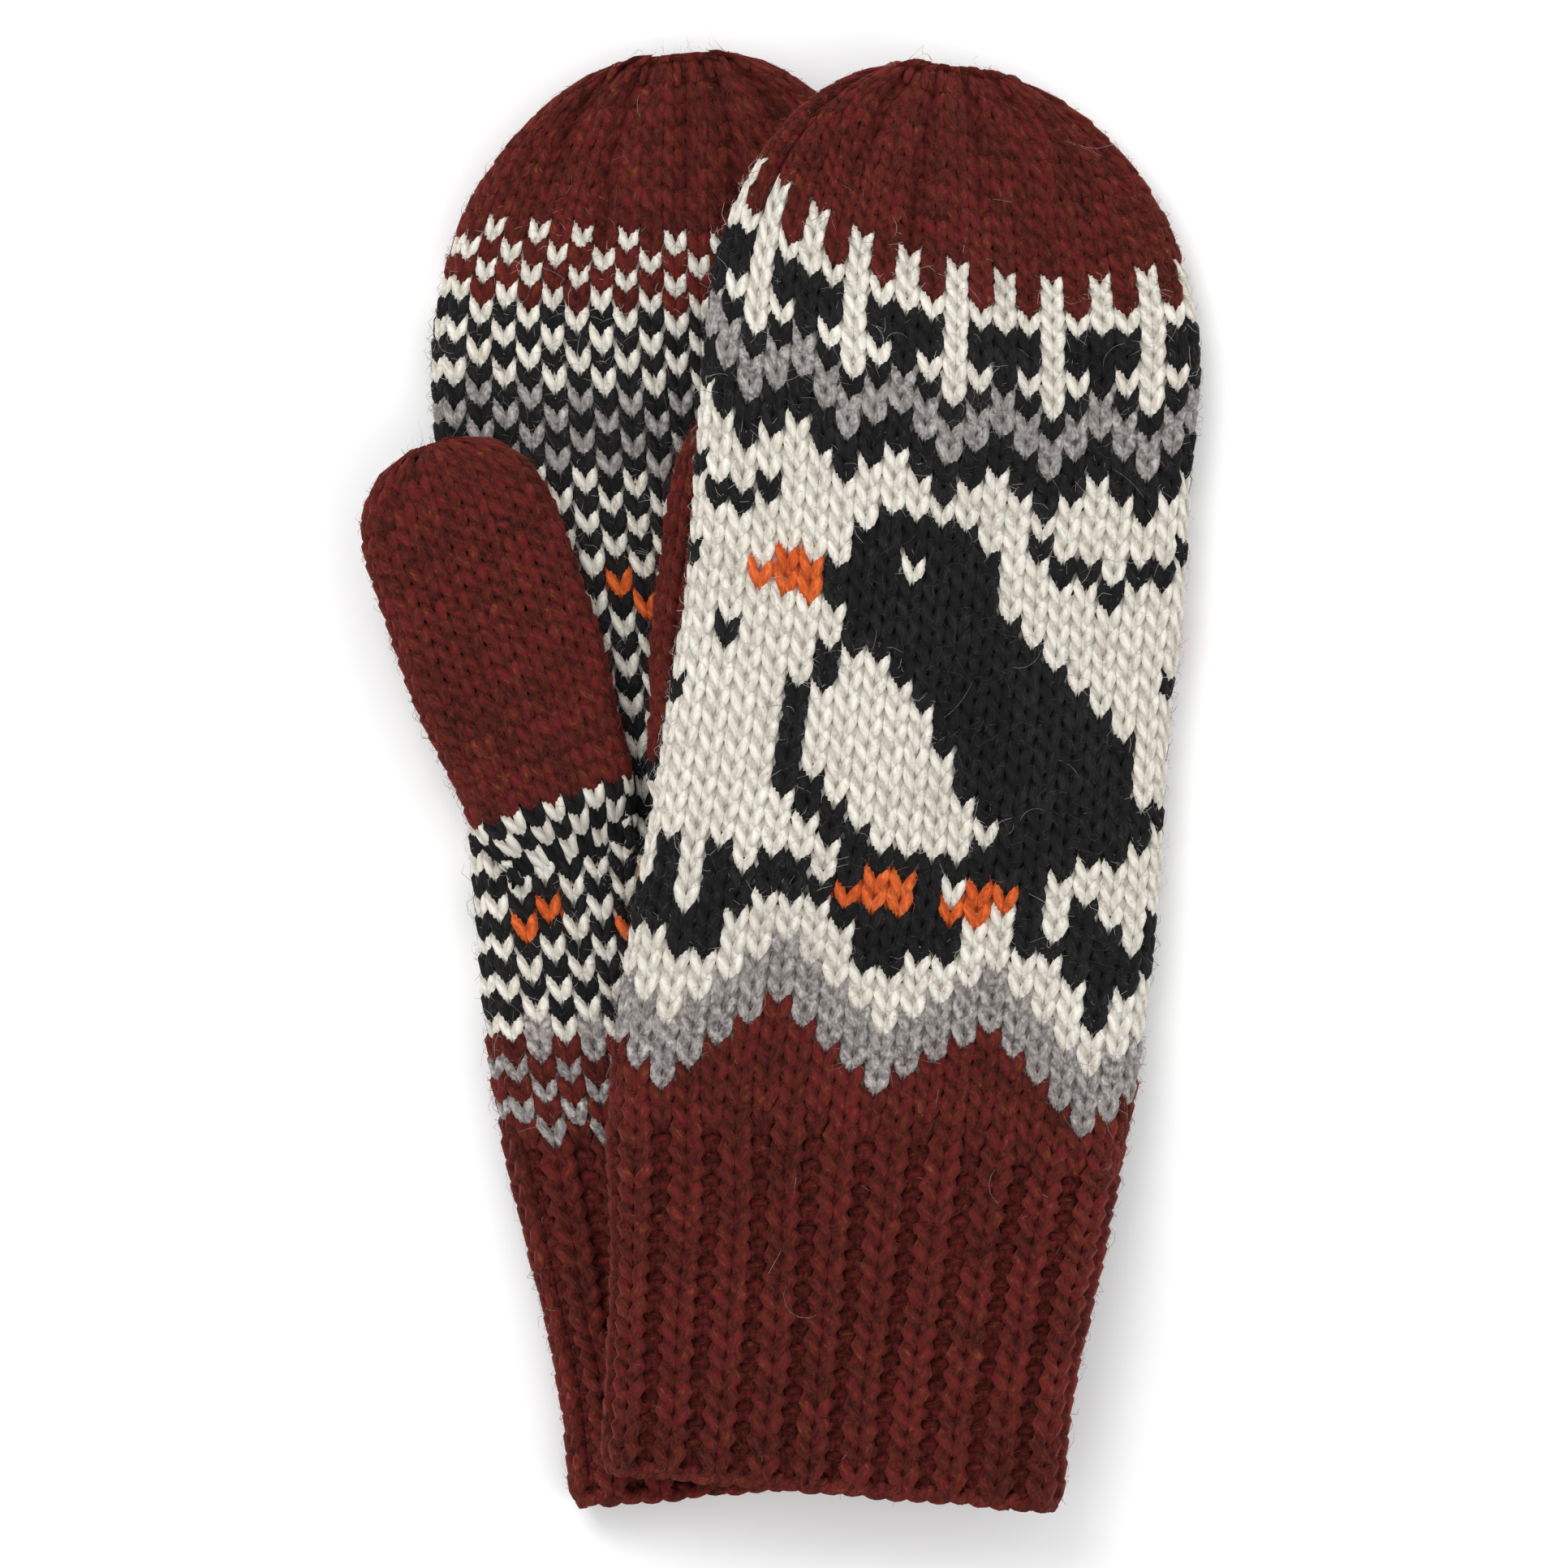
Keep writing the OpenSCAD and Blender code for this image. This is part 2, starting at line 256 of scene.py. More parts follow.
def on_thumb(col, v, out, side, around=THUMB_ROUND):
    """The same for a thumb: col is from the middle of its outer face and v from its base."""
    flip = 1 if side == "left" else -1
    half, r = thumb_section(v)
    x, z, nx, nz = wrap(col / around * girth(half, r), half, r)
    out = out - 0.5 * smooth((-5 - v) / 5)
    x, z = flip * (x + out * nx), flip * (z + out * nz)
    palm_side = THICK + LAYER_GAP + (0 if side == "left" else THUMB_THICK)
    z = z + palm_side + flip * np.where(v < 20, r, THUMB_THICK / 2)
    c, d = math.cos(THUMB_TURN[side]), math.sin(THUMB_TURN[side])
    return lay(THUMB_U[side] + x * c - v * d, THUMB_AT + x * d + v * c, z, side)


# ---------------------------------------------------------------- the colour pattern, a stitch at a time
BIRD_AT = (3, 46)    # left column and top row of the bird
BIRD = (
    "......####........",
    ".....######.......",
    ".....##.###.......",
    "..oo#######.......",
    ".ooo########......",
    ".....########.....",
    ".....#########....",
    "....#..########...",
    "....#...########..",
    "...#.....########.",
    "...#.....########.",
    "...#......#######.",
    "...#......########",
    "...##......#######",
    "....##......#####.",
    ".....##....####...",
    "......########....",
    ".......oo..oo.....",
    "......ooo.ooo.....",
)
LETTERS = {"#": "black", "o": "orange"}
# how far the pale field drips into the dark ground in each column, and its far gulls and single dark stitches
DRIPS = (1, 2, 0, 3, 0, 1, 0, 0, 1, 0, 0, 0, 0, 1, 0, 1, 0, 2, 0, 1, 2, 0, 1)
GULLS = {46: (1, 4, 15, 21), 45: (2, 3, 16, 17, 19, 20), 44: (18,)}
FLECKS = ((1, 42), (3, 39), (1, 36), (21, 40), (19, 37), (21, 34))


def back_yarn(r, c):
    """The yarn of row r, column c (0 to 22) on the back: zigzag, seabird on a pale field, little trees."""
    point = min((c - 3) % 8, 8 - (c - 3) % 8)
    peak = min((c - 3) % 4, 4 - (c - 3) % 4)
    if r < 19 + point or r >= 60:
        return "rust"
    if r < 22 + point:
        return "grey"
    if r < 25 + point - (c % 3 == 1):
        return "white"
    if r < 30:
        if bird_yarn(r, c) == "orange":
            return "orange"
        return "white" if r >= 30 - DRIPS[c] else "black"
    if r <= 47 + peak:
        return bird_yarn(r, c)
    if r in (50 + peak, 51 + peak):
        return "grey"
    if r < 53:
        return "black"
    if peak == 0:
        return "white"
    if peak == 2:
        return "white" if r >= 57 else "black"
    if r in (54, 57):
        return "white"
    return "black" if r < 57 else "rust"


def bird_yarn(r, c):
    """The pale field with its bird, gulls and single dark stitches."""
    line, place = BIRD_AT[1] - r, c - BIRD_AT[0]
    if 0 <= line < len(BIRD) and 0 <= place < len(BIRD[line]) and BIRD[line][place] != ".":
        return LETTERS[BIRD[line][place]]
    return "black" if c in GULLS.get(r, ()) or (c, r) in FLECKS else "white"


def palm_yarn(r, c):
    """The palm is a check of single stitches whose two yarns change up the hand."""
    lit = (r + c) % 2 == 0
    if r < 17 or r > 61:
        return "rust"
    if r < 22:
        return "grey" if lit else "rust"
    if r < 23:
        return "white" if lit else "grey"
    if lit and ((r in (27, 28) and (c - r) % 4 == 2) or (r in (42, 43, 44) and (c + r) % 4 == 2)):
        return "orange"
    if r < 50:
        return "white" if lit else "black"
    if r < 54:
        return "grey" if lit else "black"
    return ("white" if lit else "black") if r < 58 else ("white" if lit else "rust")


# ---------------------------------------------------------------- lengths of yarn
def yarn_form(steps, sides):
    """A straight closed length of yarn with a ring at every unit. Loops, strands and fibres are copies."""
    bpy.ops.object.select_all(action="DESELECT")
    bpy.ops.mesh.primitive_circle_add(vertices=sides, radius=1, fill_type="NGON", location=(0, 0, 0))
    bpy.ops.object.mode_set(mode="EDIT")
    bpy.ops.mesh.select_all(action="SELECT")
    for _ in range(steps - 1):
        bpy.ops.mesh.extrude_region_move(TRANSFORM_OT_translate={"value": (0, 0, 1)})
    bpy.ops.mesh.select_all(action="SELECT")
    bpy.ops.mesh.normals_make_consistent(inside=False)
    bpy.ops.object.mode_set(mode="OBJECT")
    model = bpy.context.object
    mesh = model.data
    at = np.empty(len(mesh.vertices) * 3)
    mesh.vertices.foreach_get("co", at)
    at = at.reshape(-1, 3)
    corners = np.empty(len(mesh.loops), dtype=np.int32)
    mesh.loops.foreach_get("vertex_index", corners)
    sizes = np.empty(len(mesh.polygons), dtype=np.int32)
    mesh.polygons.foreach_get("loop_total", sizes)
    turn = np.arctan2(at[:, 1], at[:, 0])
    ring = np.rint(at[:, 2]).astype(int)
    place = np.rint((turn - turn[0]) / (2 * math.pi) * sides).astype(int) % sides
    across = place[corners] / sides
    face_of = np.repeat(np.arange(len(sizes)), sizes)
    last = np.zeros(len(sizes), dtype=bool)
    np.logical_or.at(last, face_of, place[corners] == sides - 1)
    level = np.bincount(face_of, ring[corners]) / sizes
    wall = level != np.rint(level)
    across = np.where(wall[face_of] & last[face_of] & (place[corners] == 0), 1.0, across)
    bpy.data.objects.remove(model)
    bpy.data.meshes.remove(mesh)
    return {"ring": ring, "place": place, "corners": corners, "sizes": sizes, "along": ring[corners],
            "across": across, "steps": steps, "sides": sides}


def tube(points, radii, sides, up=(0, 0, 1)):
    """Rings of points round lines (line, step, xyz)."""
    ahead = np.gradient(points, axis=-2)
    ahead = ahead / np.maximum(np.linalg.norm(ahead, axis=-1, keepdims=True), 1e-9)
    rise = np.broadcast_to(np.array(up, dtype=float), ahead.shape)
    over = np.cross(ahead, rise)
    over = over / np.maximum(np.linalg.norm(over, axis=-1, keepdims=True), 1e-6)
    rise = np.cross(over, ahead)
    a = np.arange(sides)[:, None] / sides * 2 * math.pi
    return points[..., None, :] + radii[..., None, None] * (
        rise[..., None, :] * np.cos(a) + over[..., None, :] * np.sin(a))


def lay_yarn(name, form, rings, tone, long_mm, material):
    """One piece from placed rings (line, step, side, xyz), with the yarn's own map and a tone a line."""
    count = len(rings)
    per = form["steps"] * form["sides"]
    spots = rings[:, form["ring"], form["place"]].reshape(-1)
    starts = np.arange(count)[:, None] * per
    corners = (form["corners"][None] + starts).reshape(-1).astype(np.int32)
    sizes = np.tile(form["sizes"], count).astype(np.int32)
    mesh = bpy.data.meshes.new(name)
    mesh.vertices.add(count * per)
    mesh.vertices.foreach_set("co", spots.astype(np.float32))
    mesh.loops.add(len(corners))
    mesh.loops.foreach_set("vertex_index", corners)
    mesh.polygons.add(len(sizes))
    mesh.polygons.foreach_set("loop_start", np.concatenate([[0], np.cumsum(sizes)[:-1]]).astype(np.int32))
    mesh.polygons.foreach_set("use_smooth", np.ones(len(sizes), dtype=bool))
    mesh.update(calc_edges=True)
    step = np.broadcast_to(np.asarray(long_mm, dtype=float) / (form["steps"] - 1), (count,))
    yarn_map = np.stack([form["along"][None] * step[:, None], np.tile(form["across"], (count, 1))], axis=-1)
    layer = mesh.uv_layers.new(name="yarn")
    layer.data.foreach_set("uv", yarn_map.astype(np.float32).reshape(-1))
    held = mesh.attributes.new("tone", "FLOAT", "POINT")
    held.data.foreach_set("value", np.repeat(tone, per).astype(np.float32))
    mesh.materials.append(material)
    piece = bpy.data.objects.new(name, mesh)
    bpy.context.scene.collection.objects.link(piece)
    return piece


LOOP_T = np.array([-1, -0.8, -0.62, -0.4, -0.16, 0.16, 0.4, 0.62, 0.8, 1]) * math.pi
LOOP_FORM = yarn_form(len(LOOP_T), 6)
STRAND_FORM = yarn_form(9, 6)
FLOAT_FORM = yarn_form(5, 4)
FIBRE_FORM = yarn_form(3, 3)
STRAY_FORM = yarn_form(7, 3)
HAND_WAIST = 0.235   # how far a loop's legs close in below its head, in stitches
LOOP_TALL = 0.86     # half a loop's height, in rows: it reaches behind the rows next to it
LOOP_DEEP = 0.55     # how far its head and foot go behind the legs
LOOP_LONG = 11.5     # the yarn in one loop, in millimetres


def stitch_line(st):
    """Middle lines of the stitches, in millimetres from each stitch's own middle."""
    t = LOOP_T[None]
    x = (t / (2 * math.pi) + HAND_WAIST * np.sin(2 * t)) * (st["wide"] * st["spread"])[:, None]
    y = LOOP_TALL * ROW * np.cos(t) * st["tall"][:, None]
    z = -LOOP_DEEP * np.cos(2 * t) * st["face"][:, None]
    lean = st["tilt"][:, None] * y
    return np.stack([x + lean, y, z], axis=-1)


def stitch_rings(st, place, fuller=1.0):
    """The placed rings of the stitches; place takes columns, distance up, distance out and stitches round."""
    t = LOOP_T[None]
    radii = YARN * fuller * (0.80 + 0.24 * np.sin(t) ** 2) * st["plump"][:, None]
    rings = tube(stitch_line(st), radii, LOOP_FORM["sides"])
    pick = (slice(None), None, None)
    col = st["col"][pick] + rings[..., 0] / st["wide"][pick]
    return place(col, st["s"][pick] + rings[..., 1], SKIN + st["out"][pick] + rings[..., 2], st["around"][pick])


def stitches(cols, s, around, wide, face=None, out=None, spread=None):
    """A set of stitches, each with a little of the hand's unevenness."""
    n = len(cols)
    one = np.ones(n)
    return {"col": cols + draw.normal(0, 0.018, n), "s": s + draw.normal(0, 0.09, n),
            "around": around * one, "wide": wide * one, "face": one if face is None else face,
            "out": (0 if out is None else out) + draw.normal(0, 0.07, n),
            "spread": (one if spread is None else spread) * draw.normal(1, 0.03, n),
            "tall": draw.normal(1, 0.025, n), "tilt": draw.normal(0, 0.03, n),
            "plump": draw.normal(1, 0.045, n), "tone": draw.random(n)}


def some(st, keep):
    return {key: value[keep] for key, value in st.items()}


def join_sets(sets):
    return {key: np.concatenate([one[key] for one in sets]) for key in sets[0]}


def decreased(long_round, most):
    """How many stitches a round of this length takes, but never more than most."""
    return int(min(most, 2 * round(long_round / (2 * STITCH_WIDE))))


def yarn_at(r, col, around):
    """The yarn of row r at col stitches from the middle of the back."""
    if r >= PLAIN_ROW:
        return "rust"
    on_back = abs(col) <= around // 4
    from_middle = col if on_back else col - FACE if col > 0 else col + FACE
    c = int(np.clip(from_middle + CENTRE, 0, FACE - 1))
    return back_yarn(r, c) if on_back else palm_yarn(r, c)


def ribbing_at(s):
    """1 in the ribbed cuff, fading to 0 above it."""
    return 1 - smooth((s - FIRST_ROW_AT - RIB_ROWS * ROW) / RIB_FADE)


def knit_hand():
    """Every stitch of one hand with its yarn and zone (rib, hand or crown), and how many each row has."""
    sets, yarns, zones, counts = [], [], [], []
    around = ROUND
    for r in range(ROWS):
        s = FIRST_ROW_AT + (r + 0.5) * ROW
        long_round = float(girth(hand_half(s), hand_thick(s) / 2))
        if r % 2 == 0:
            around = min(around, decreased(long_round, ROUND))
        counts.append(around)
        cols = np.arange(around) - around // 2
        ribbing = float(ribbing_at(s))
        purl = (cols % 2 == 0) & (r < RIB_ROWS + 1)
        out = np.where(cols % 2 == 0, -1.9, 0.35) * ribbing
        spread = np.where(cols % 2 == 0, 1 - 0.25 * ribbing, 1 + 0.42 * ribbing)
        sets.append(stitches(cols.astype(float), s, around, long_round / around,
                             np.where(purl, -1.0, 1.0), out, spread))
        for col in cols:
            yarns.append(yarn_at(r, col, around))
            zones.append("rib" if r < RIB_ROWS else "hand" if r < CROWN_ROW else "crown")
    return join_sets(sets), np.array(yarns), np.array(zones), counts


def knit_thumb():
    """Every stitch of one thumb, and which of them are the picked-up ones below its base."""
    sets, below = [], []
    around = THUMB_ROUND
    for r in range(THUMB_ROWS):
        v = THUMB_FIRST_AT + (r + 0.5) * ROW
        long_round = float(girth(*thumb_section(np.array(v))))
        if r > THUMB_EVEN_TO:
            around = min(around, decreased(long_round, THUMB_ROUND))
        cols = (np.arange(around) - around // 2).astype(float)
        if v < 0:
            cols = cols[np.abs(cols) <= around // 4 + 1]
        sets.append(stitches(cols, v, around, long_round / around))
        below += [v < 0] * len(cols)
    return join_sets(sets), np.array(below)


def under_collar(st, side):
    """The palm's stitches that the thumb's picked-up stitches take the place of."""
    at = on_hand(st["col"], st["s"], SKIN, side, st["around"]) / MM
    c, d = math.cos(TURN[side]), math.sin(TURN[side])
    x, y = at[:, 0] - HEM[side][0], at[:, 1] - HEM[side][1]
    u, s = x * c + y * d - THUMB_U[side], y * c - x * d - THUMB_AT
    c, d = math.cos(THUMB_TURN[side]), math.sin(THUMB_TURN[side])
    x, v = u * c + s * d, s * c - u * d
    palm = np.abs(st["col"]) > st["around"] / 4
    return palm & (v > COLLAR_FROM) & (v < -1.5) & (np.abs(x) < thumb_half(v) - 3.5)


def fibre_rings(st, place, count, longest, lift=1.25, form=FIBRE_FORM, thick=1.0):
    """Loose curling fibres that stand off the yarn: a woollen bloom."""
    pick = draw.integers(0, len(st["col"]), count)
    line = stitch_line(some(st, pick))
    step = draw.integers(2, 8, count)
    start = line[np.arange(count), step]
    start[:, 2] = start[:, 2] + draw.uniform(0.5, 1.15, count) * YARN
    start[:, :2] += draw.normal(0, 0.5, (count, 2))
    way = draw.uniform(0, 2 * math.pi, count)
    long = 1.3 + (longest - 1.3) * draw.random(count) ** 3
    curl = draw.normal(0, 1.5, count)
    rise = draw.uniform(0.15, lift, count) * np.sqrt(long / longest) * 1.7
    u = np.linspace(0, 1, form["steps"])[None]
    turn = way[:, None] + curl[:, None] * u
    dx = np.cumsum(np.cos(turn), axis=1) - np.cos(turn[:, :1])
    dy = np.cumsum(np.sin(turn), axis=1) - np.sin(turn[:, :1])
    size = (long / (form["steps"] - 1))[:, None]
    dz = rise[:, None] * np.sin(u * draw.uniform(1.2, 3.0, count)[:, None])
    points = start[:, None] + np.stack([dx * size, dy * size, dz], axis=-1)
    radii = thick * draw.uniform(0.030, 0.055, count)[:, None] * (1 - 0.45 * u)
    rings = tube(points, radii, form["sides"])
    at = (slice(None), None, None)
    col = st["col"][pick][at] + rings[..., 0] / st["wide"][pick][at]
    out = SKIN + st["out"][pick][at] + rings[..., 2]
    return place(col, st["s"][pick][at] + rings[..., 1], out, st["around"][pick][at]), long


# ---------------------------------------------------------------- woollen materials
def bare_material(name):
    material = bpy.data.materials.new(name)
    material.use_nodes = True
    nodes = material.node_tree.nodes
    return material, nodes, material.node_tree.links, nodes["Principled BSDF"]


def put(node, **values):
    """Sets a node's inputs; an underscore stands for a space in their names."""
    for key, value in values.items():
        node.inputs[key.replace("_", " ")].default_value = value


def noise(nodes, links, where, scale, detail):
    node = nodes.new("ShaderNodeTexNoise")
    put(node, Scale=scale, Detail=detail)
    links.new(where, node.inputs["Vector"])
    return node


def mix(nodes, kind, share):
    node = nodes.new("ShaderNodeMix")
    node.data_type = "RGBA"
    node.blend_type = kind
    node.inputs[0].default_value = share
    return node


def relieve(nodes, links, height, shader, strength, distance):
    relief = nodes.new("ShaderNodeBump")
    put(relief, Strength=strength, Distance=distance)
    links.new(height, relief.inputs["Height"])
    links.new(relief.outputs[0], shader.inputs["Normal"])


def yarn_material(name, shades, lift, flecks=None, halo=None):
    """Plied heathered wool: shades from deep to light, an optional fleck colour, twist and fibre relief, and
    painted shade along the grooves between the plies.
    """
    material, nodes, links, shader = bare_material(name)
    tint = halo or [min(1.0, 0.35 + 1.6 * v) for v in shades[-1]]
    put(shader, Sheen_Weight=lift, Sheen_Roughness=0.45, Sheen_Tint=(*tint, 1), Specular_IOR_Level=0.12,
        Subsurface_Weight=0.3, Subsurface_Radius=(1.0, 0.7, 0.6), Subsurface_Scale=0.0012)
    place = nodes.new("ShaderNodeTexCoord")
    yarn_map = nodes.new("ShaderNodeUVMap")
    yarn_map.uv_map = "yarn"
    split = nodes.new("ShaderNodeSeparateXYZ")
    links.new(yarn_map.outputs["UV"], split.inputs[0])
    tone = nodes.new("ShaderNodeAttribute")
    tone.attribute_name = "tone"

    def maths(kind, a, b=None, c=None):
        node = nodes.new("ShaderNodeMath")
        node.operation = kind
        for spot, value in enumerate((a, b, c)):
            if value is None:
                continue
            if isinstance(value, (int, float)):
                node.inputs[spot].default_value = value
            else:
                links.new(value, node.inputs[spot])
        return node.outputs[0]

    # two plies wound round each other, and streaks of single fibres along them
    phase = maths("ADD", maths("MULTIPLY", split.outputs[0], 0.42), maths("MULTIPLY", split.outputs[1], 2.0))
    twist = maths("MULTIPLY_ADD", maths("SINE", maths("MULTIPLY", phase, 2 * math.pi)), 0.5, 0.5)
    spin = nodes.new("ShaderNodeCombineXYZ")
    links.new(maths("MULTIPLY", phase, 1.9), spin.inputs[0])
    links.new(maths("MULTIPLY", split.outputs[1], 5.0), spin.inputs[1])
    links.new(maths("MULTIPLY", tone.outputs["Fac"], 57.0), spin.inputs[2])
    streaks = noise(nodes, links, spin.outputs[0], 2.2, 4.0)
    fibres = noise(nodes, links, place.outputs["Object"], 2600, 3.0)
    patches = noise(nodes, links, place.outputs["Object"], 420, 4.0)

    mixed = maths("MULTIPLY_ADD", streaks.outputs["Fac"], 0.74, maths("MULTIPLY", tone.outputs["Fac"], 0.12))
    mixed = maths("MULTIPLY_ADD", patches.outputs["Fac"], 0.38, mixed)
    ramp = nodes.new("ShaderNodeValToRGB")
    deepest, lightest = 0.40, 0.86
    ramp.color_ramp.elements[0].position = deepest
    ramp.color_ramp.elements[0].color = (*shades[0], 1)
    ramp.color_ramp.elements[1].position = lightest
    ramp.color_ramp.elements[1].color = (*shades[-1], 1)
    for index, shade in enumerate(shades[1:-1], 1):
        element = ramp.color_ramp.elements.new(deepest + (lightest - deepest) * index / (len(shades) - 1))
        element.color = (*shade, 1)
    links.new(mixed, ramp.inputs[0])
    colour = ramp.outputs[0]
    if flecks:
        spots = noise(nodes, links, place.outputs["Object"], 900, 2.0)
        near = nodes.new("ShaderNodeMapRange")
        put(near, From_Min=0.54, From_Max=0.78)
        links.new(maths("MULTIPLY_ADD", tone.outputs["Fac"], 0.14, spots.outputs["Fac"]), near.inputs["Value"])
        blend = mix(nodes, "MIX", 0.5)
        blend.inputs[7].default_value = (*flecks, 1)
        links.new(near.outputs["Result"], blend.inputs[0])
        links.new(colour, blend.inputs[6])
        colour = blend.outputs[2]
    # painted shade: the base colour is darkened to 0.74 along the grooves between the two plies
    ply_groove_painted_shade = mix(nodes, "MULTIPLY", 1.0)
    shade = nodes.new("ShaderNodeValToRGB")
    shade.color_ramp.elements[0].color = (0.74, 0.72, 0.71, 1)
    shade.color_ramp.elements[1].position = 0.55
    shade.color_ramp.elements[1].color = (1, 1, 1, 1)
    links.new(twist, shade.inputs[0])
    links.new(colour, ply_groove_painted_shade.inputs[6])
    links.new(shade.outputs[0], ply_groove_painted_shade.inputs[7])
    links.new(ply_groove_painted_shade.outputs[2], shader.inputs["Base Color"])
    links.new(maths("MULTIPLY_ADD", fibres.outputs["Fac"], 0.22, 0.76), shader.inputs["Roughness"])

    height = maths("MULTIPLY_ADD", fibres.outputs["Fac"], 0.55, maths("MULTIPLY", twist, 0.8))
    height = maths("MULTIPLY_ADD", streaks.outputs["Fac"], 0.5, height)
    relieve(nodes, links, height, shader, 0.55, 0.00035)
    return material


RUST_HALO = (0.50, 0.10, 0.12)
WOOL = {
    "rust": yarn_material(
        "rust_wool_yarn",
        ((0.014, 0.004, 0.003), (0.062, 0.010, 0.006), (0.100, 0.018, 0.009), (0.20, 0.058, 0.018)),
        0.3, (0.135, 0.010, 0.014), RUST_HALO),
    "white": yarn_material(
        "white_wool_yarn", ((0.54, 0.50, 0.43), (0.73, 0.69, 0.61), (0.84, 0.81, 0.74)), 0.2),
    "black": yarn_material(
        "black_wool_yarn", ((0.005, 0.005, 0.005), (0.010, 0.0095, 0.010), (0.025, 0.023, 0.023)), 0.05),
    "grey": yarn_material(
        "grey_wool_yarn", ((0.14, 0.13, 0.125), (0.36, 0.335, 0.32), (0.60, 0.56, 0.54)), 0.15,
        (0.14, 0.13, 0.13)),
    "orange": yarn_material(
        "orange_wool_yarn", ((0.36, 0.050, 0.010), (0.62, 0.110, 0.022), (0.78, 0.20, 0.06)), 0.1),
}
BLOOM = {
    "rust": yarn_material(
        "rust_wool_bloom", ((0.05, 0.010, 0.006), (0.13, 0.024, 0.013), (0.30, 0.095, 0.040)), 0.3,
        (0.21, 0.02, 0.03), RUST_HALO),
    "black": yarn_material(
        "black_wool_bloom", ((0.012, 0.012, 0.013), (0.05, 0.048, 0.048), (0.16, 0.15, 0.15)), 0.1),
}
# colours of the knitting's reverse: each yarn's own colour, with grey, orange and white set darker than their
# yarns as painted shade seen in the gaps between stitches
REVERSE_YARN_SHADE = {"rust": (0.10, 0.014, 0.010), "white": (0.70, 0.65, 0.58), "black": (0.008, 0.008, 0.008),
       "grey": (0.24, 0.225, 0.215), "orange": (0.45, 0.08, 0.025)}


def reverse_material():
    """The back of the knitting, seen only between the stitches and inside, in the colours of its yarns, some
    darkened as painted shade for the gaps.
    """
    material, nodes, links, shader = bare_material("knit_reverse")
    put(shader, Specular_IOR_Level=0.15, Sheen_Weight=0.2)
    # reads the reverse's colour: the yarn's colour, partly darkened as painted shade
    reverse_yarn_shade = nodes.new("ShaderNodeAttribute")
    reverse_yarn_shade.attribute_name = "reverse_yarn_shade"
    place = nodes.new("ShaderNodeTexCoord")
    fuzz = noise(nodes, links, place.outputs["Object"], 900, 5)
    vary = mix(nodes, "OVERLAY", 0.6)
    links.new(reverse_yarn_shade.outputs["Color"], vary.inputs[6])
    links.new(fuzz.outputs["Fac"], vary.inputs[7])
    links.new(vary.outputs[2], shader.inputs["Base Color"])
    rough = nodes.new("ShaderNodeMapRange")
    rough.inputs["To Min"].default_value = 0.8
    links.new(fuzz.outputs["Fac"], rough.inputs["Value"])
    links.new(rough.outputs["Result"], shader.inputs["Roughness"])
    relieve(nodes, links, fuzz.outputs["Fac"], shader, 0.8, 0.0008)
    return material


REVERSE = reverse_material()

# ---------------------------------------------------------------- the pieces of each mitten
# loose fibres on a hand: where, their yarn, how many and the longest in millimetres
FUZZ = (("rib", "rust", 9000, 5.0), ("rust", "rust", 8500, 5.0), ("white", "white", 6500, 4.5),
        ("black", "black", 4200, 4.5), ("grey", "grey", 2200, 4.5), ("orange", "orange", 400, 4.0))
THUMB_FUZZ = 4200
STRAYS = 260
FLOAT_UNIT = 4.27     # millimetres a float strand takes for each stitch that it passes


def hang(piece, side, part):
    """Rides a finished piece on its body, or bakes its placement into its mesh where its part crosses a joint.
    """
    if part == "thumb":
        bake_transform(piece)
    elif side == "left" or part == "cuff":
        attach(piece, side + "_mitten")
    elif part == "crown":
        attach(piece, "right_fingers")
    else:
        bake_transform(piece)


def shell(name, place, spans, rounds, wall):
    """The reverse of the knitting as a tube: a grid rolled up, joined down its seam and given a wall."""
    bpy.ops.object.select_all(action="DESELECT")
    bpy.ops.mesh.primitive_grid_add(x_subdivisions=rounds, y_subdivisions=spans, size=1, location=(0, 0, 0))
    piece = bpy.context.object
    piece.name = name
    mesh = piece.data
    at = np.empty(len(mesh.vertices) * 3)
    mesh.vertices.foreach_get("co", at)
    at = at.reshape(-1, 3)
    spots, reverse_yarn_shades = place(at[:, 0], at[:, 1] + 0.5)
    # each point's yarn colour, partly darkened as painted shade for the gaps between stitches
    colours = mesh.color_attributes.new("reverse_yarn_shade", "FLOAT_COLOR", "POINT")
    colours.data.foreach_set("color", reverse_yarn_shades.astype(np.float32).reshape(-1))
    mesh.vertices.foreach_set("co", spots.astype(np.float32).reshape(-1))
    mesh.update()
    bpy.ops.object.mode_set(mode="EDIT")
    bpy.ops.mesh.select_all(action="SELECT")
    bpy.ops.mesh.remove_doubles(threshold=0.00002)
    bpy.ops.mesh.normals_make_consistent(inside=False)
    bpy.ops.object.mode_set(mode="OBJECT")
    thick = piece.modifiers.new("wall", "SOLIDIFY")
    thick.thickness = wall * MM
    thick.offset = -1
    bpy.ops.object.modifier_apply(modifier=thick.name)
    mesh.materials.append(REVERSE)
    for face in mesh.polygons:
        face.use_smooth = True
    return piece


def strands(name, ends, place, yarn, up=(1, 0, 0), radius=YARN * 0.9, long_mm=9.0, form=STRAND_FORM):
    """Lengths of yarn through given points (line, step, xyz), in millimetres of the surface they lie on."""
    radii = np.full(ends.shape[:2], radius)
    radii[:, 0] *= 0.7
    radii[:, -1] *= 0.7
    rings = tube(ends, radii, form["sides"], up)
    return lay_yarn(name, form, place(rings), draw.random(len(ends)), long_mm, WOOL[yarn])


